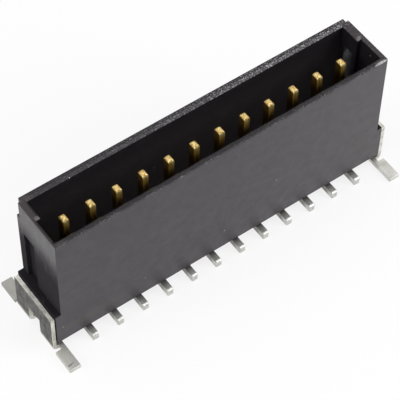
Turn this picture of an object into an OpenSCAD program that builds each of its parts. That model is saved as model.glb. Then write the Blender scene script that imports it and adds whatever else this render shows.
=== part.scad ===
// Single-row shrouded pin header for surface mounting: a moulded housing, one bent contact of
// flat wire per way, and a sheet-metal hold-down clip at each end.
// Millimetres, +X along the row, +Y to the back, +Z up from the board.

/* [Row] */
// Number of contacts in the row
ways = 12; // [2:1:40]
// Distance between neighbouring contacts
pitch = 1.27; // [1:0.01:2.54]

/* [Housing] */
// Depth of the housing from its front face to its back face
housing_d = 2.85; // [2.3:0.05:3.4]
// Distance from the outermost contact to the shroud's end face
end_margin = 1.3; // [1.2:0.05:2.2]
// Height of the rim above the board
rim_h = 7.2; // [5:0.1:9]
// Height above the board of the ledges on which the shroud's ends stand
ledge_h = 2.4; // [1.9:0.05:3]
// How far the base block reaches past the shroud at each end
ledge_out = 0.27; // [0.1:0.01:0.5]
// Height of the cavity floor above the board
floor_h = 2.5; // [1.8:0.05:3.2]
// Thickness of the long front and back walls
wall_t = 0.29; // [0.2:0.01:0.4]
// Thickness of the end walls beside the thin front stretch of the cavity
end_wall_t = 0.16; // [0.12:0.01:0.3]
// Thickness of the end walls beside the keyed back stretch of the cavity
key_wall_t = 0.36; // [0.32:0.01:0.5]
// Distance from the middle of the housing back to the key step
key_step_y = 0.15; // [0:0.01:0.4]
// Lead-in chamfer round the mouth of the cavity
lead_in = 0.12; // [0.04:0.01:0.14]
// Flat left on top of the thinnest wall beside the lead-in
rim_flat = 0.03; // [0.02:0.01:0.06]

/* [Housing details] */
// Width of the rebate in each back corner of the rim, along the row
rebate_l = 0.14; // [0.05:0.01:0.3]
// Depth of the rebate in each back corner of the rim, front to back
rebate_d = 0.2; // [0.05:0.01:0.3]
// Height of the rebate, down from the rim
rebate_h = 1; // [0.3:0.05:2]
// Wall left beside the core-out groove of each end face, front and back
groove_land = 0.12; // [0.05:0.01:0.25]
// Depth of the core-out groove
groove_d = 0.2; // [0.05:0.01:0.28]
// Distance from the rim down to the top of the core-out groove
groove_drop = 1.9; // [1:0.05:2.5]
// Radius of the half-round guide rib inside each end
rib_r = 0.2; // [0.1:0.01:0.25]
// Distance from the rim down to the top of the guide rib
rib_drop = 1.15; // [0.8:0.05:2]
// Height of the guide rib's tapered nose
rib_nose_h = 0.25; // [0.1:0.01:0.4]
// Radius at the top of the guide rib's nose
rib_nose_r = 0.08; // [0.02:0.01:0.09]

/* [Contacts] */
// Width of the contact wire along the row
wire_w = 0.3; // [0.25:0.01:0.45]
// Thickness of the contact wire through its bend
wire_t = 0.4; // [0.3:0.01:0.5]
// Inside radius of the contact's bend
wire_bend_r = 0.1; // [0.05:0.01:0.2]
// Clearance round a contact in its hole
contact_fit = 0.02; // [0.01:0.005:0.05]
// Distance from the rim down to the contact tips
tip_drop = 0.6; // [0.2:0.05:1.5]
// Length of the coined tip
tip_l = 0.1; // [0.05:0.01:0.4]
// How far the coined tip draws in on each side
tip_in = 0.08; // [0.03:0.01:0.12]
// How far the solder tails reach past the housing's front face
tail_out = 0.5; // [0.2:0.05:1]
// Chamfer along the upper edge of a tail's end
tail_chamfer = 0.07; // [0.02:0.01:0.15]

/* [Hold-down clips] */
// Thickness of the clip sheet
clip_t = 0.2; // [0.12:0.01:0.25]
// Inside radius of the clip's bends
clip_bend_r = 0.1; // [0.05:0.01:0.2]
// Gap between the clip's plate and the end of the base block
clip_fit = 0.03; // [0.01:0.005:0.08]
// Distance from the housing's front and back faces in to the edges of the clip's plate
clip_inset = 0.05; // [0:0.01:0.2]
// Distance from the ledge down to the clip's top edge
clip_drop = 0.15; // [0:0.01:0.4]
// Width of the slits between the clip's tongue and its two legs
tongue_slit = 0.18; // [0.1:0.01:0.3]
// Width of the neck that joins a leg's bend to its foot
neck_w = 0.23; // [0.15:0.01:0.4]
// How far the solder feet reach past the housing, front and back
foot_out = 1.25; // [0.6:0.05:1.6]
// Width of the relief slit between a leg and its foot
relief_w = 0.2; // [0.1:0.01:0.3]
// Height of the clip's tongue above the board
tongue_h = 0.9; // [0.75:0.01:1.2]
// Width of the tongue
tongue_w = 0.5; // [0.3:0.01:0.6]
// How deep the tongue sits in the base block
tongue_in = 0.72; // [0.5:0.01:0.9]
// How far each barb stands out from the tongue's side
barb_out = 0.05; // [0.02:0.01:0.1]
// Length of each barb
barb_l = 0.2; // [0.1:0.01:0.22]
// Clearance round the tongue in its slot
tongue_fit = 0.02; // [0.01:0.005:0.05]

/* [Hidden] */
// Facets of a full circle where the curves are drawn
$fn = 64;
// How far a cutting shape runs past the face that it opens
over = 0.5;

row_l = (ways - 1) * pitch;
shroud_l = row_l + 2 * end_margin;
base_l = shroud_l + 2 * ledge_out;

// The wire bends clear of the housing, so the underside sits where the bend ends
wire_bend_h = wire_t + wire_bend_r;
underside_h = wire_bend_h;
hole_w = wire_w + 2 * contact_fit;
hole_d = wire_t + 2 * contact_fit;
tip_h = rim_h - tip_drop;
tail_end_y = -housing_d / 2 - tail_out;

// The lead-in never eats up the flat of a thin wall
mouth = min(lead_in, end_wall_t - rim_flat, wall_t - rim_flat);

// Cavity: a keyed back stretch between thick end walls, a front stretch between thin ones
keyed_l = shroud_l - 2 * key_wall_t;
open_l = shroud_l - 2 * end_wall_t;
cavity_y = housing_d / 2 - wall_t;
key_mid_y = (key_step_y + cavity_y) / 2;
rib_top_h = rim_h - rib_drop;
groove_y = key_step_y + groove_land;
groove_w = cavity_y - groove_land - groove_y;

// Clip: the plate bends into two legs with feet, and into a tongue between the legs
clip_w = housing_d - 2 * clip_inset;
leg_w = (clip_w - tongue_w) / 2 - tongue_slit;
clip_face_x = base_l / 2 + clip_fit + clip_t;
clip_top_h = ledge_h - clip_drop;
clip_bend = clip_t + clip_bend_r;
foot_w = clip_bend + neck_w;
notch_h = tongue_h + clip_bend;
foot_end_y = housing_d / 2 + foot_out;
tongue_end_x = clip_t + clip_fit + tongue_in;

function two_digits(i) = str(i < 10 ? "0" : "", i);
function contact_name(i) = str("contact_", two_digits(i));
function contact_x(i) = (i - 1) * pitch - row_l / 2;

// Block centred on the row, between two heights
module block(l, d, low, high) {
    translate([-l / 2, -d / 2, low])
        cube([l, d, high - low]);
}

// Solid with one outline seen along Y (points in X and Z) and another seen along X (in Y and Z)
module crossed(seen_along_y, seen_along_x, reach) {
    intersection() {
        rotate([90, 0, 0])
            linear_extrude(reach, center = true)
                polygon(seen_along_y);
        rotate([90, 0, 90])
            linear_extrude(reach, center = true)
                polygon(seen_along_x);
    }
}

// Outline of a well from the cavity floor to past the rim, flared by the lead-in at its mouth
function well_outline(from, to) = [
    [from, floor_h],
    [to, floor_h],
    [to, rim_h - mouth],
    [to + mouth + over, rim_h + over],
    [from - mouth - over, rim_h + over],
    [from, rim_h - mouth]
];

// One stretch of the mating cavity, from its front to its back
module well(l, front, back) {
    crossed(well_outline(-l / 2, l / 2), well_outline(front, back), base_l + housing_d);
}

// Half-round guide rib with a tapered nose, standing against the keyed end wall
module guide_rib() {
    translate([keyed_l / 2, key_mid_y, floor_h - over]) {
        cylinder(r = rib_r, h = rib_top_h - rib_nose_h - floor_h + over);
        translate([0, 0, rib_top_h - rib_nose_h - floor_h + over])
            cylinder(r1 = rib_r, r2 = rib_nose_r, h = rib_nose_h);
    }
}

// What is cut from one end: the corner rebate, the core-out groove and the clip's slot
module end_cuts() {
    translate([shroud_l / 2 - rebate_l, housing_d / 2 - rebate_d, rim_h - rebate_h])
        cube([rebate_l + over, rebate_d + over, rebate_h + over]);
    translate([shroud_l / 2 - groove_d, groove_y, ledge_h])
        cube([groove_d + over, groove_w, rim_h - groove_drop - ledge_h]);
    translate([base_l / 2 - tongue_in - tongue_fit, 0, 0])
        slot_for_tongue();
}

// Slot for the clip's tongue and its bend, open at the end of the base block
module slot_for_tongue() {
    slot_w = tongue_w + 2 * (barb_out + tongue_fit);
    translate([0, -slot_w / 2, tongue_h - tongue_fit])
        cube([tongue_in + tongue_fit + over, slot_w, notch_h - tongue_h + 2 * tongue_fit]);
}

// Moulded housing: base block, keyed shroud, and a four-sided hole for each contact
module housing() {
    color("#1c1c1e")
        difference() {
            union() {
                difference() {
                    union() {
                        block(base_l, housing_d, underside_h, ledge_h);
                        block(shroud_l, housing_d, underside_h, rim_h);
                    }
                    well(keyed_l, -cavity_y, cavity_y);
                    well(open_l, -cavity_y, key_step_y);
                }
                guide_rib();
                mirror([1, 0, 0])
                    guide_rib();
            }
            for (i = [1:ways])
                translate([contact_x(i), 0, 0])
                    block(hole_w, hole_d, underside_h - over, floor_h + over);
            end_cuts();
            mirror([1, 0, 0])
                end_cuts();
        }
}

// Outline of a pin of that width, straight up from the bend and narrowed at the coined tip
function pin_outline(w) = [
    [-w / 2, wire_bend_h],
    [w / 2, wire_bend_h],
    [w / 2, tip_h - tip_l],
    [w / 2 - tip_in, tip_h],
    [tip_in - w / 2, tip_h],
    [-w / 2, tip_h - tip_l]
];

// Outline of the tail, from the bend forward to its end
function tail_outline() = [
    [-wire_t / 2 - wire_bend_r, 0],
    [-wire_t / 2 - wire_bend_r, wire_t],
    [tail_end_y + tail_chamfer, wire_t],
    [tail_end_y, wire_t - tail_chamfer],
    [tail_end_y, 0]
];

// Contact of flat wire: gold-plated pin, one bend under the housing, tinned solder tail
module contact(i) {
    translate([contact_x(i), 0, 0]) {
        color("#d8b44a")
            crossed(pin_outline(wire_w), pin_outline(wire_t), 2 * (wire_w + wire_t));
        color("#c8c8c4") {
            translate([0, -wire_t / 2 - wire_bend_r, wire_bend_h])
                rotate([0, 90, 0])
                    rotate_extrude(angle = 90)
                        translate([wire_bend_r, -wire_w / 2])
                            square([wire_t, wire_w]);
            rotate([90, 0, 90])
                linear_extrude(wire_w, center = true)
                    polygon(tail_outline());
        }
    }
}

// Quarter bend of the clip sheet, from the plate's outer face down and inwards
module clip_quarter(low_y, w, top_h) {
    translate([-clip_bend, low_y, top_h])
        rotate([-90, 0, 0])
            rotate_extrude(angle = 90)
                translate([clip_bend_r, 0])
                    square([clip_t, w]);
}

// Back leg of the clip, with its bend and the foot that reaches out behind the housing
module clip_leg() {
    leg_y = clip_w / 2 - leg_w;
    slit_end_y = clip_w / 2 + relief_w;
    translate([-clip_t, leg_y, clip_bend])
        cube([clip_t, leg_w, clip_top_h - clip_bend]);
    clip_quarter(leg_y, leg_w, clip_bend);
    linear_extrude(clip_t)
        polygon([
            [-foot_w, leg_y],
            [-clip_bend, leg_y],
            [-clip_bend, slit_end_y],
            [0, slit_end_y],
            [0, foot_end_y],
            [-foot_w, foot_end_y]
        ]);
}

// Barbed tongue, bent in from the plate between the legs
module clip_tongue() {
    clip_quarter(-tongue_w / 2, tongue_w, notch_h);
    translate([-tongue_end_x, -tongue_w / 2, tongue_h])
        cube([tongue_end_x - clip_bend, tongue_w, clip_t]);
    translate([0, 0, tongue_h])
        for (place = [tongue_end_x - barb_l, tongue_end_x - 2 * barb_l])
            linear_extrude(clip_t)
                polygon([
                    [-place - barb_l, -tongue_w / 2],
                    [-place, -tongue_w / 2 - barb_out],
                    [-place, tongue_w / 2 + barb_out],
                    [-place - barb_l, tongue_w / 2]
                ]);
}

// Hold-down clip of the right-hand end, measured from the outer face of its plate
module clip() {
    color("#b8b8b0")
        translate([clip_face_x, 0, 0]) {
            translate([-clip_t, -clip_w / 2, notch_h])
                cube([clip_t, clip_w, clip_top_h - notch_h]);
            clip_leg();
            mirror([0, 1, 0])
                clip_leg();
            clip_tongue();
        }
}

module clip_right() {
    clip();
}

module clip_left() {
    mirror([1, 0, 0])
        clip();
}

housing();
for (i = [1:ways])
    contact(i);
clip_left();
clip_right();
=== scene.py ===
import math

import bpy
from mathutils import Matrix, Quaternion, Vector


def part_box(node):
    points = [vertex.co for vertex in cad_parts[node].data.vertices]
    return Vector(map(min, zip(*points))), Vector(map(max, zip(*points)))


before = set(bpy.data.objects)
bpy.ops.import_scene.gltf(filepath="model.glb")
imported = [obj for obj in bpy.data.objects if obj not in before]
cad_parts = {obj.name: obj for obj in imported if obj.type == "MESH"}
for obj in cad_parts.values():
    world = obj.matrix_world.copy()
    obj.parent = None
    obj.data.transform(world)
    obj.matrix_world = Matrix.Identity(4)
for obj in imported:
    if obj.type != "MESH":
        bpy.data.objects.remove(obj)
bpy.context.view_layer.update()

# Housing: the black moulding of glass-filled resin that holds every other piece.
# It is shot in one go in a spark-eroded tool, so its faces are satin with a fine grain, while the
# rim, where the tool parts, is rough and pale with broken fibres, whose flecks are also painted
# glints.
MM = 0.001
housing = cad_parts["housing"]
housing_black = (0.0265, 0.0233, 0.0265, 1)
housing_grey = (0.0330, 0.0291, 0.0328, 1)
housing_lit_grey = (0.0495, 0.0438, 0.0490, 1)
cavity_shade_black = (0.0130, 0.0112, 0.0132, 1)
gold_reflection_brown = (0.0720, 0.0650, 0.0690, 1)
end_shade_black = (0.0050, 0.0042, 0.0052, 1)
end_sheen_grey = (0.0600, 0.0580, 0.0600, 1)
rim_black = (0.0020, 0.0017, 0.0021, 1)
rim_brown = (0.0260, 0.0205, 0.0215, 1)
sheen_purple = (1.0, 0.93, 1.0, 1)
rim_pale = (0.3000, 0.2970, 0.3100, 1)
nib_highlight = (0.5500, 0.5400, 0.5350, 1)
step_grey = (0.1300, 0.1180, 0.1240, 1)
rib_highlight_blue = (0.0900, 0.0980, 0.1150, 1)
scuff_grey = (0.0850, 0.0810, 0.0820, 1)
scuff_brown = (0.0800, 0.0670, 0.0480, 1)
dust_grey = (0.4500, 0.4400, 0.4200, 1)
housing_ior = 1.42
housing_satin = (0.34, 0.42)
end_dullness = 0.62
grain_depth = 0.02 * MM
housing_edge = 0.03 * MM
rim_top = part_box("housing")[1].z / MM


def add(tree, kind, **settings):
    """A node of that kind, with its own properties set."""
    made = tree.nodes.new(kind)
    for name, value in settings.items():
        setattr(made, name, value)
    return made


def join(tree, *links):
    """Links each pair of an output and an input."""
    for output, socket in links:
        tree.links.new(output, socket)


def sum_of(tree, operation, first, second=0):
    """A sum on one or two values; the second may be a plain number."""
    worked = add(tree, "ShaderNodeMath", operation=operation)
    tree.links.new(first, worked.inputs[0])
    if isinstance(second, (int, float)):
        worked.inputs[1].default_value = second
    else:
        tree.links.new(second, worked.inputs[1])
    return worked.outputs["Value"]


def product(tree, first, *others):
    """Values multiplied together; any after the first may be plain numbers."""
    for other in others:
        first = sum_of(tree, "MULTIPLY", first, other)
    return first


def away_from(tree, value, middle):
    """How far a value lies from the middle, on either side of it."""
    return sum_of(tree, "ABSOLUTE", sum_of(tree, "SUBTRACT", value, middle))


def ramp_of(tree, value, low, high):
    """The value spread smoothly from 0 at low to 1 at high; low may be the larger of the two."""
    spread = add(tree, "ShaderNodeMapRange", interpolation_type="SMOOTHSTEP")
    spread.inputs["From Min"].default_value = low
    spread.inputs["From Max"].default_value = high
    tree.links.new(value, spread.inputs["Value"])
    return spread.outputs["Result"]


def level(tree, mask, below, above):
    """Number above where the mask is 1, and below where it is 0."""
    spread = add(tree, "ShaderNodeMapRange")
    spread.inputs["To Min"].default_value = below
    spread.inputs["To Max"].default_value = above
    tree.links.new(mask, spread.inputs["Value"])
    return spread.outputs["Result"]


def tint(tree, mask, below, above):
    """Colour above where the mask is 1, and below where it is 0. Either is a colour or an output."""
    mixed = add(tree, "ShaderNodeMix", data_type="RGBA")
    tree.links.new(mask, mixed.inputs["Factor"])
    sockets = [socket for socket in mixed.inputs if socket.type == "RGBA"]
    for colour, socket in zip((below, above), sockets):
        if isinstance(colour, tuple):
            socket.default_value = colour
        else:
            tree.links.new(colour, socket)
    return next(socket for socket in mixed.outputs if socket.type == "RGBA")


def effect(name, inputs, outputs):
    """An empty shader group with those sockets, and its input and output nodes."""
    tree = bpy.data.node_groups.new(name, "ShaderNodeTree")
    for label, kind in inputs:
        tree.interface.new_socket(label, in_out="INPUT", socket_type=kind)
    for label in outputs:
        tree.interface.new_socket(label, in_out="OUTPUT", socket_type="NodeSocketFloat")
    return tree, add(tree, "NodeGroupInput"), add(tree, "NodeGroupOutput")


def finish_of(name):
    """A new material: itself, its tree, its shader, the place on the piece in mm, and X, Y and Z."""
    material = bpy.data.materials.new(name)
    material.use_nodes = True
    tree = material.node_tree
    shader = next(node for node in tree.nodes if node.type == "BSDF_PRINCIPLED")
    place = add(tree, "ShaderNodeMapping")
    place.inputs["Scale"].default_value = (1 / MM, 1 / MM, 1 / MM)
    axes = add(tree, "ShaderNodeSeparateXYZ")
    join(
        tree,
        (add(tree, "ShaderNodeTexCoord").outputs["Object"], place.inputs["Vector"]),
        (place.outputs["Vector"], axes.inputs["Vector"]),
    )
    return material, tree, shader, place.outputs["Vector"], axes.outputs


def placed(tree, group, place, **values):
    """The outputs of a shared effect set in a material, at that place and with its own values."""
    made = add(tree, "ShaderNodeGroup", node_tree=group)
    join(tree, (place, made.inputs["Place"]))
    for label, value in values.items():
        made.inputs[label].default_value = value
    return made.outputs


def spot(tree, place, centre, reach, turn=0, core=0.6):
    """1 in the core of an oval of that reach in mm round a centre, turned about Z, and 0 outside."""
    oval = add(tree, "ShaderNodeMapping", vector_type="TEXTURE")
    oval.inputs["Location"].default_value = centre
    oval.inputs["Rotation"].default_value = (0, 0, turn)
    oval.inputs["Scale"].default_value = reach
    length = add(tree, "ShaderNodeVectorMath", operation="LENGTH")
    join(tree, (place, oval.inputs["Vector"]), (oval.outputs["Vector"], length.inputs[0]))
    return ramp_of(tree, length.outputs["Value"], 1, core)


def streaks(tree, place, stretch, shows):
    """Scuffs drawn out along the axes of small stretch, from none to full over the range it shows."""
    drawn = add(tree, "ShaderNodeMapping")
    drawn.inputs["Scale"].default_value = stretch
    noise = add(tree, "ShaderNodeTexNoise")
    noise.inputs["Scale"].default_value = 1
    noise.inputs["Detail"].default_value = 4
    join(tree, (place, drawn.inputs["Vector"]), (drawn.outputs["Vector"], noise.inputs["Vector"]))
    return ramp_of(tree, noise.outputs["Fac"], *shows)


def bumped(tree, shader, height, distance, strength):
    """Feeds a height to the shader's normal through a bump."""
    bump = add(tree, "ShaderNodeBump")
    bump.inputs["Distance"].default_value = distance
    bump.inputs["Strength"].default_value = strength
    join(tree, (height, bump.inputs["Height"]), (bump.outputs["Normal"], shader.inputs["Normal"]))


# Grain of a moulded or plated skin: fine height, broad clouds and bright flecks
cloud_shows = (0.35, 0.65)
fleck_shows = (0.50, 0.64)
grain_group, given, made = effect(
    "skin_grain",
    [("Place", "NodeSocketVector"), ("Grain", "NodeSocketFloat"), ("Clouds", "NodeSocketFloat")],
    ["Height", "Cloud", "Fleck"],
)
fine = add(grain_group, "ShaderNodeTexNoise")
fine.inputs["Detail"].default_value = 2
broad = add(grain_group, "ShaderNodeTexNoise")
broad.inputs["Detail"].default_value = 4
for noise, scale in ((fine, "Grain"), (broad, "Clouds")):
    join(
        grain_group,
        (given.outputs["Place"], noise.inputs["Vector"]),
        (given.outputs[scale], noise.inputs["Scale"]),
    )
join(
    grain_group,
    (fine.outputs["Fac"], made.inputs["Height"]),
    (ramp_of(grain_group, broad.outputs["Fac"], *cloud_shows), made.inputs["Cloud"]),
    (ramp_of(grain_group, fine.outputs["Fac"], *fleck_shows), made.inputs["Fleck"]),
)

# Dust: a few small pale specks, while most cells stay empty
empty_share = 0.88
dust_group, given, made = effect(
    "loose_dust",
    [("Place", "NodeSocketVector"), ("Cells", "NodeSocketFloat"), ("Size", "NodeSocketFloat")],
    ["Speck"],
)
cells = add(dust_group, "ShaderNodeTexVoronoi")
draw = add(dust_group, "ShaderNodeSeparateColor")
inside = add(dust_group, "ShaderNodeMath", operation="LESS_THAN")
join(
    dust_group,
    (given.outputs["Place"], cells.inputs["Vector"]),
    (given.outputs["Cells"], cells.inputs["Scale"]),
    (cells.outputs["Color"], draw.inputs["Color"]),
    (cells.outputs["Distance"], inside.inputs[0]),
    (product(dust_group, given.outputs["Size"], given.outputs["Cells"]), inside.inputs[1]),
)
chosen = sum_of(dust_group, "GREATER_THAN", draw.outputs["Red"], empty_share)
join(dust_group, (product(dust_group, inside.outputs["Value"], chosen), made.inputs["Speck"]))

black_moulding, tree, shader, place, axis = finish_of("black_moulding")
grain = placed(tree, grain_group, place, Grain=24.0, Clouds=0.6)
mottle = placed(tree, grain_group, place, Grain=9.0, Clouds=2.2)
fibres = placed(tree, grain_group, place, Grain=15.0, Clouds=1.5)
dust = placed(tree, dust_group, place, Cells=2.2, Size=0.025)
from_middle = away_from(tree, axis["X"], 0)
across = away_from(tree, axis["Y"], 0)
folded = add(tree, "ShaderNodeCombineXYZ")
join(
    tree,
    (from_middle, folded.inputs["X"]),
    (axis["Y"], folded.inputs["Y"]),
    (axis["Z"], folded.inputs["Z"]),
)
either_end = folded.outputs["Vector"]

# The rim is black, brown at both ends, and speckled pale along the back, most to the right; the
# specks are fibre flecks and also painted glints, growing to the right as painted light.
rim_starts = (rim_top - 0.135, rim_top - 0.115)
rim_brown_starts = (7.6, 7.95)
back_rim_starts = (0.9, 1.15)
back_rim_ends = (1.36, 1.40)
right_rim_glints_grow = (-7.5, 5)
few_specks = 0.15
fewest_specks = 0.12
burr_starts = (-1.33, -1.40)
nib_place = (7.95, -1.42, rim_top - 0.02)
nib_size = (0.42, 0.1, 0.07)
step_place = (8.03, 0.21, rim_top - 0.06)
step_size = (0.16, 0.11, 0.14)
patchy = (0.5, 1)
rim = ramp_of(tree, axis["Z"], *rim_starts)
rim_colour = tint(tree, ramp_of(tree, from_middle, *rim_brown_starts), rim_black, rim_brown)
# Pale fibre flecks that also paint glints of light, more of them to the right
rim_specks_and_glints = product(
    tree,
    rim,
    fibres["Fleck"],
    level(tree, fibres["Cloud"], *patchy),
    level(tree, ramp_of(tree, axis["Y"], *back_rim_starts), few_specks, 1),
    level(tree, ramp_of(tree, axis["Y"], *back_rim_ends), 1, few_specks),
    level(tree, ramp_of(tree, axis["X"], *right_rim_glints_grow), fewest_specks, 1),
)
# Painted highlight on the front rim at the right-hand corner
rim_nib_highlight = spot(tree, place, nib_place, nib_size)
rim_nib_highlight = product(tree, rim_nib_highlight, level(tree, fibres["Fleck"], *patchy))
# Painted highlight on the lead-in chamfer of each key step
rim_step_highlight = spot(tree, either_end, step_place, step_size)
rim_step_highlight = product(tree, rim_step_highlight, level(tree, mottle["Cloud"], *patchy))
front_rim = ramp_of(tree, axis["Y"], *burr_starts)
burr = product(tree, rim, front_rim, fibres["Fleck"], fibres["Cloud"])

# The cavity walls are painted darker than the outside as shade, and browner with depth as a painted
# reflection of the gold pins; the guide ribs carry a painted pale blue highlight
cavity_end = (8.16, 8.14)
cavity_side = (1.15, 1.14)
cavity_floor = (2.3, 2.45)
keyed_end = (7.92, 7.85)
gold_reflection_grows = (rim_top - 0.3, rim_top - 3.2)
rib_place = (7.925, 0.64, 0)
rib_reach = (0.3, 0.3, 1000)
rib_face = (8.0, 7.95)
rib_top = (rim_top - 1.1, rim_top - 1.15)
rib_patchy = (0.4, 1)
# Painted shade: the cavity walls darker than the outside
cavity = product(
    tree,
    ramp_of(tree, from_middle, *cavity_end),
    ramp_of(tree, across, *cavity_side),
    ramp_of(tree, axis["Z"], *cavity_floor),
)
# Painted reflection of the gold pins, growing with depth
cavity_gold_reflection = product(
    tree,
    cavity,
    ramp_of(tree, from_middle, *keyed_end),
    ramp_of(tree, axis["Z"], *gold_reflection_grows),
)
# Painted pale blue highlight on the half-round guide ribs
rib_highlight = product(
    tree,
    spot(tree, either_end, rib_place, rib_reach),
    ramp_of(tree, axis["Z"], *rib_top),
    ramp_of(tree, from_middle, *rib_face),
    level(tree, mottle["Fleck"], *rib_patchy),
)

# The ends are painted pale below the rim as a sheen of reflected light, with upright scuffs that also
# lighten the top; above the ledges and in the grooves they are painted black as shade, and dull
end_wall = (8.18, 8.24)
end_corner = (1.424, 1.40)
end_sheen_grows = (rim_top - 2, rim_top - 0.8)
end_shade_grows = (rim_top - 0.8, rim_top - 3.0)
groove_floor = (8.03, 8.06)
groove_front = (0.28, 0.32)
groove_top = (rim_top - 1.85, rim_top - 1.95)
upright_scuffs = (7.0, 7.0, 0.8)
upright_shows = (0.54, 0.72)
end_scuffs_and_sheen_start = (rim_top - 3.2, rim_top - 1.2)
end_face = product(
    tree,
    ramp_of(tree, from_middle, *end_wall),
    ramp_of(tree, across, *end_corner),
)
groove = product(
    tree,
    ramp_of(tree, from_middle, *groove_floor),
    ramp_of(tree, axis["Y"], *groove_front),
    ramp_of(tree, axis["Y"], *cavity_side),
    ramp_of(tree, axis["Z"], *groove_top),
)
# Painted shade: the ends black above the ledges, where the dark ledge is mirrored, and in the grooves
end_painted_shade = product(tree, end_face, ramp_of(tree, axis["Z"], *end_shade_grows))
end_painted_shade = sum_of(tree, "MAXIMUM", end_painted_shade, groove)
# Painted sheen: the upper ends lighter, as the white floor mirrored at a grazing angle
end_painted_sheen = product(
    tree,
    end_face,
    ramp_of(tree, axis["Z"], *end_sheen_grows),
    level(tree, mottle["Cloud"], *patchy),
)
# Upright scuffs, which also paint the top of the ends lighter as sheen
end_scuffs_and_sheen = product(
    tree,
    end_face,
    streaks(tree, place, upright_scuffs, upright_shows),
    ramp_of(tree, axis["Z"], *end_scuffs_and_sheen_start),
)

# The long faces are painted lighter grey to the right where more light falls, with a few scuffs along
# the row and one brown smudge
painted_light_grows = (-3, 9)
long_face = (1.30, 1.40)
row_scuffs = (0.5, 1.3, 4.2)
row_shows = (0.58, 0.72)
row_strength = 0.25
smudge_place = (-6.9, -1.42, 1.25)
smudge_size = (2.2, 0.3, 0.3)
smudge_strength = 0.35
# Painted light: the long faces lighter towards the right
right_painted_light = product(
    tree,
    ramp_of(tree, axis["X"], *painted_light_grows),
    ramp_of(tree, across, *long_face),
)
face_scuffs = streaks(tree, place, row_scuffs, row_shows)
face_scuffs = product(tree, face_scuffs, mottle["Fleck"], row_strength)
smudge = spot(tree, place, smudge_place, smudge_size)
smudge = product(tree, smudge, mottle["Cloud"], smudge_strength)

# Each tint lies over the one before it
mottle_strength = 0.3
fleck_strength = 0.02
colour = tint(tree, grain["Cloud"], housing_black, housing_grey)
colour = tint(tree, product(tree, mottle["Cloud"], mottle_strength), colour, housing_grey)
colour = tint(tree, product(tree, grain["Fleck"], fleck_strength), colour, rim_pale)
colour = tint(tree, right_painted_light, colour, housing_lit_grey)
colour = tint(tree, cavity, colour, cavity_shade_black)
colour = tint(tree, cavity_gold_reflection, colour, gold_reflection_brown)
colour = tint(tree, end_painted_shade, colour, end_shade_black)
colour = tint(tree, end_painted_sheen, colour, end_sheen_grey)
colour = tint(tree, face_scuffs, colour, scuff_grey)
colour = tint(tree, end_scuffs_and_sheen, colour, scuff_grey)
colour = tint(tree, smudge, colour, scuff_brown)
colour = tint(tree, rib_highlight, colour, rib_highlight_blue)
colour = tint(tree, rim, colour, rim_colour)
colour = tint(tree, rim_specks_and_glints, colour, rim_pale)
colour = tint(tree, burr, colour, step_grey)
colour = tint(tree, rim_step_highlight, colour, step_grey)
colour = tint(tree, rim_nib_highlight, colour, nib_highlight)
colour = tint(tree, dust["Speck"], colour, dust_grey)
shader.inputs["IOR"].default_value = housing_ior
shader.inputs["Specular Tint"].default_value = sheen_purple
satin = level(tree, mottle["Cloud"], *housing_satin)
join(
    tree,
    (colour, shader.inputs["Base Color"]),
    (sum_of(tree, "ADD", satin, product(tree, end_painted_shade, end_dullness)), shader.inputs["Roughness"]),
)
bumped(tree, shader, grain["Height"], distance=grain_depth, strength=0.6)


def close_faces():
    """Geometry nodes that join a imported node's loose triangles, so that its edges can be rounded."""
    group = bpy.data.node_groups.new("joined_faces", "GeometryNodeTree")
    for way in ("INPUT", "OUTPUT"):
        group.interface.new_socket("Geometry", in_out=way, socket_type="NodeSocketGeometry")
    bare = add(group, "GeometryNodeRemoveAttribute")
    bare.inputs["Name"].default_value = "custom_normal"
    merged = add(group, "GeometryNodeMergeByDistance")
    merged.inputs["Distance"].default_value = 0.0001 * MM
    smooth = add(group, "GeometryNodeSetShadeSmooth")
    join(
        group,
        (add(group, "NodeGroupInput").outputs["Geometry"], bare.inputs["Geometry"]),
        (bare.outputs["Geometry"], merged.inputs["Geometry"]),
        (merged.outputs["Geometry"], smooth.inputs["Geometry"]),
        (smooth.outputs["Geometry"], add(group, "NodeGroupOutput").inputs["Geometry"]),
    )
    return group


joined_faces = close_faces()


def dress(piece, material, edge):
    """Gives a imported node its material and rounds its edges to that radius."""
    piece.data.materials.clear()
    piece.data.materials.append(material)
    piece.modifiers.new("joined_faces", "NODES").node_group = joined_faces
    flat = piece.modifiers.new("flat_faces", "DECIMATE")
    flat.decimate_type = "DISSOLVE"
    flat.angle_limit = math.radians(0.5)
    rounded = piece.modifiers.new("rounded_edges", "BEVEL")
    rounded.width = edge
    rounded.segments = 3
    rounded.limit_method = "ANGLE"
    rounded.angle_limit = math.radians(28)
    rounded.harden_normals = True


dress(housing, black_moulding, housing_edge)

# Contacts: flat wire pressed through the housing floor, its coined pin tip plated with gold and its
# bent solder tail with matt tin; the two platings meet inside the floor. The gold is worn pale at
# the tip and thin and dark on the sheared sides; lower down it is painted darker as shade in the
# cavity, and the tails are painted darker near the housing as its reflection.
pin_gold = (0.800, 0.540, 0.120, 1)
pin_gold_deep = (0.500, 0.280, 0.038, 1)
pin_gold_worn = (0.860, 0.680, 0.300, 1)
pin_gold_thin_and_shade = (0.260, 0.145, 0.022, 1)
tail_tin = (0.660, 0.660, 0.635, 1)
tail_tin_dull = (0.480, 0.480, 0.450, 1)
tail_tin_shade = (0.240, 0.240, 0.225, 1)
plating_meets = (1.2, 1.5)
wire_low, wire_high = (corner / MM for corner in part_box("contact_01"))
wire_half = (wire_high.x - wire_low.x) / 2
wire_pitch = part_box("contact_02")[0].x / MM - wire_low.x
pin_top = wire_high.z
wire_side = (wire_half - 0.02, wire_half - 0.002)
tip_wears = (pin_top - 0.35, pin_top - 0.08)
tip_scatters = (pin_top - 0.85, pin_top - 0.25)
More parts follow.
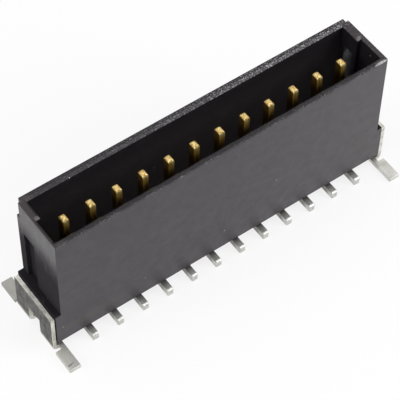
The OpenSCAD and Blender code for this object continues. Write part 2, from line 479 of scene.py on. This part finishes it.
pin_shade_grows = (pin_top - 0.5, pin_top - 1.2)
tail_shade_grows = (-1.80, -1.45)
pin_streaks = (13, 13, 2)
pin_streaks_show = (0.40, 0.66)
tail_streaks = (14, 2, 14)
tail_streaks_show = (0.38, 0.62)
side_scatter = 0.3
tip_metallic = 0.40
tin_roughness = 0.46
gold_roughness = 0.28
wire_grain_depth = 0.004 * MM
contact_edge = 0.045 * MM

plated_wire, tree, shader, place, axis = finish_of("plated_wire")
grain = placed(tree, grain_group, place, Grain=16.0, Clouds=8.0)
gold_mask = ramp_of(tree, axis["Z"], *plating_meets)
# Every wire stands in the middle of its own pitch, counted from the middle of the row
share_of_pitch = sum_of(tree, "FRACT", product(tree, axis["X"], 1 / wire_pitch))
off_wire = product(tree, away_from(tree, share_of_pitch, 0.5), wire_pitch)
sheared = ramp_of(tree, off_wire, *wire_side)
scattered = ramp_of(tree, axis["Z"], *tip_scatters)
scattered = product(tree, scattered, level(tree, sheared, 1, side_scatter))
gold = tint(tree, ramp_of(tree, axis["Z"], *tip_wears), pin_gold, pin_gold_worn)
gold = tint(tree, streaks(tree, place, pin_streaks, pin_streaks_show), gold, pin_gold_deep)
# Painted shade: the shaft darker lower down in the cavity
gold = tint(tree, ramp_of(tree, axis["Z"], *pin_shade_grows), gold, pin_gold_thin_and_shade)
gold = tint(tree, sheared, gold, pin_gold_thin_and_shade)
tin = tint(tree, streaks(tree, place, tail_streaks, tail_streaks_show), tail_tin, tail_tin_dull)
# Painted reflection of the black housing: the tails darker near it
tin = tint(tree, ramp_of(tree, axis["Y"], *tail_shade_grows), tin, tail_tin_shade)
join(
    tree,
    (tint(tree, gold_mask, tin, gold), shader.inputs["Base Color"]),
    (level(tree, scattered, 1, tip_metallic), shader.inputs["Metallic"]),
    (level(tree, gold_mask, tin_roughness, gold_roughness), shader.inputs["Roughness"]),
)
bumped(tree, shader, grain["Height"], distance=wire_grain_depth, strength=0.4)
for name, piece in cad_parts.items():
    if name.startswith("contact_"):
        dress(piece, plated_wire, contact_edge)

# Hold-down clips: stamped and bent sheet, plated with matt tin, whose barbed tongues are pressed
# into the ends of the base. The rolled faces of the plates are painted darker than the sheared
# edges as shade, and the back feet are painted darker than the front ones as shade.
foot_tin = (0.660, 0.658, 0.625, 1)
foot_tin_dull = (0.540, 0.538, 0.500, 1)
foot_tin_shade = (0.350, 0.346, 0.320, 1)
edge_tin = (0.740, 0.737, 0.695, 1)
edge_tin_dull = (0.540, 0.536, 0.480, 1)
plate_tin_shade = (0.112, 0.110, 0.103, 1)
plate_shade_dull = (0.054, 0.053, 0.049, 1)
plate_starts = (0.2, 0.5)
sheet_half = 0.1
sheet_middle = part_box("clip_right")[1].x / MM - sheet_half
rolled_face = (sheet_half - 0.015, sheet_half - 0.003)
back_foot_shade_starts = (1.0, 1.5)
edge_streaks = (6, 4, 4)
edge_streaks_show = (0.40, 0.60)
plate_streaks = (4, 6, 2.5)
plate_streaks_show = (0.38, 0.66)
sheet_roughness = (0.44, 0.58)
sheet_grain_depth = 0.006 * MM
nick_brown = (0.260, 0.250, 0.228, 1)
nick_place = (-8.60, -2.44, 0.2)
nick_size = (0.2, 0.05, 1)
nick_turn = 0.18
nick_gaps = 0.3
clip_edge = 0.02 * MM

tinned_sheet, tree, shader, place, axis = finish_of("tinned_sheet")
grain = placed(tree, grain_group, place, Grain=14.0, Clouds=2.6)
off_sheet = away_from(tree, away_from(tree, axis["X"], 0), sheet_middle)
rolled = ramp_of(tree, off_sheet, *rolled_face)
above_foot = ramp_of(tree, axis["Z"], *plate_starts)
foot = tint(tree, grain["Cloud"], foot_tin, foot_tin_dull)
# Painted shade: the back feet darker than the front ones
foot = tint(tree, ramp_of(tree, axis["Y"], *back_foot_shade_starts), foot, foot_tin_shade)
edge = tint(tree, streaks(tree, place, edge_streaks, edge_streaks_show), edge_tin, edge_tin_dull)
# Painted shade: the rolled faces of the plates much darker than the tin
plate_shade = tint(tree, streaks(tree, place, plate_streaks, plate_streaks_show), plate_tin_shade, plate_shade_dull)
nick = spot(tree, place, nick_place, nick_size, nick_turn)
nick = product(tree, nick, level(tree, grain["Fleck"], 1, nick_gaps))
colour = tint(tree, above_foot, foot, edge)
colour = tint(tree, product(tree, rolled, above_foot), colour, plate_shade)
colour = tint(tree, nick, colour, nick_brown)
shader.inputs["Metallic"].default_value = 1
join(
    tree,
    (colour, shader.inputs["Base Color"]),
    (level(tree, grain["Cloud"], *sheet_roughness), shader.inputs["Roughness"]),
)
bumped(tree, shader, grain["Height"], distance=sheet_grain_depth, strength=0.5)
for name in ("clip_left", "clip_right"):
    dress(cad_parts[name], tinned_sheet, clip_edge)

# Floor: a plain white sheet under the solder feet, which shows as white and keeps a soft shadow.
# It is a stage piece, large enough to run out of every view.
floor_size = 0.6
floor_gap = 0.01 * MM
floor_white = (0.90, 0.90, 0.90, 1)
floor_lift = 0.8
bpy.ops.object.select_all(action="DESELECT")
bpy.ops.mesh.primitive_plane_add(size=floor_size, location=(0, 0, -floor_gap))
floor = bpy.context.object
floor.name = "floor"
bpy.ops.object.transform_apply(location=True)


def seen_rays(tree):
    """1 for the rays that show a background: seen directly, mirrored or through glass."""
    rays = add(tree, "ShaderNodeLightPath").outputs
    mirrored = sum_of(tree, "MAXIMUM", rays["Is Glossy Ray"], rays["Is Transmission Ray"])
    return sum_of(tree, "MAXIMUM", mirrored, rays["Is Camera Ray"])


white_sheet = bpy.data.materials.new("white_sheet")
white_sheet.use_nodes = True
tree = white_sheet.node_tree
tree.nodes.clear()
paper = add(tree, "ShaderNodeBsdfDiffuse")
paper.inputs["Color"].default_value = floor_white
glow = add(tree, "ShaderNodeEmission")
sheet = add(tree, "ShaderNodeMixShader")
join(
    tree,
    (product(tree, seen_rays(tree), floor_lift), sheet.inputs["Fac"]),
    (paper.outputs["BSDF"], sheet.inputs[1]),
    (glow.outputs["Emission"], sheet.inputs[2]),
    (sheet.outputs["Shader"], add(tree, "ShaderNodeOutputMaterial").inputs["Surface"]),
)
floor.data.materials.append(white_sheet)

# Studio light: an even white surround, one large softbox above the front right, a smaller one on the
# left that lights the near end, and one overhead that reaches into the cavity.
surround = 0.60
world = bpy.data.worlds.new("white_surround")
bpy.context.scene.world = world
world.use_nodes = True
tree = world.node_tree
tree.nodes.clear()
lit = add(tree, "ShaderNodeBackground")
lit.inputs["Color"].default_value = (1, 1, 1, 1)
lit.inputs["Strength"].default_value = surround
shown = add(tree, "ShaderNodeBackground")
shown.inputs["Color"].default_value = (1, 1, 1, 1)
both = add(tree, "ShaderNodeMixShader")
join(
    tree,
    (seen_rays(tree), both.inputs["Fac"]),
    (lit.outputs["Background"], both.inputs[1]),
    (shown.outputs["Background"], both.inputs[2]),
    (both.outputs["Shader"], add(tree, "ShaderNodeOutputWorld").inputs["Surface"]),
)


def softbox(name, place, size, watts):
    """A square area lamp at that place in metres, facing the part."""
    lamp = bpy.data.lights.new(name, "AREA")
    lamp.size = size
    lamp.energy = watts
    holder = bpy.data.objects.new(name, lamp)
    holder.location = place
    holder.rotation_euler = (-Vector(place)).to_track_quat("-Z", "Y").to_euler()
    bpy.context.scene.collection.objects.link(holder)


softbox("front_softbox", place=(0.075, -0.08, 0.055), size=0.06, watts=0.075)
softbox("left_softbox", place=(-0.09, 0.01, 0.05), size=0.05, watts=0.03)
softbox("top_softbox", place=(-0.01, 0.0, 0.1), size=0.06, watts=0.02)

# Camera: looks down on the front and the left-hand end, as in the photograph.
# A fairly long lens from near by, so that the far end is a little smaller than the near one.
view_turn = math.radians(36.8)
view_height = math.radians(53.9)
view_lean = math.radians(1.2)
view_distance = 75 * MM
view_aim = Vector((-0.421, -0.170, 2.717)) * MM
view_width = 16.95 * MM
camera = bpy.data.objects.new("camera", bpy.data.cameras.new("camera"))
bpy.context.scene.collection.objects.link(camera)
bpy.context.scene.camera = camera
back = Vector((
    -math.sin(view_turn) * math.cos(view_height),
    -math.cos(view_turn) * math.cos(view_height),
    math.sin(view_height),
))
camera.location = view_aim + back * view_distance
camera.rotation_mode = "QUATERNION"
camera.rotation_quaternion = (-back).to_track_quat("-Z", "Y") @ Quaternion((0, 0, 1), view_lean)
camera.data.lens = camera.data.sensor_width * view_distance / view_width
camera.data.clip_start = 1 * MM
bpy.context.scene.view_settings.view_transform = "Standard"
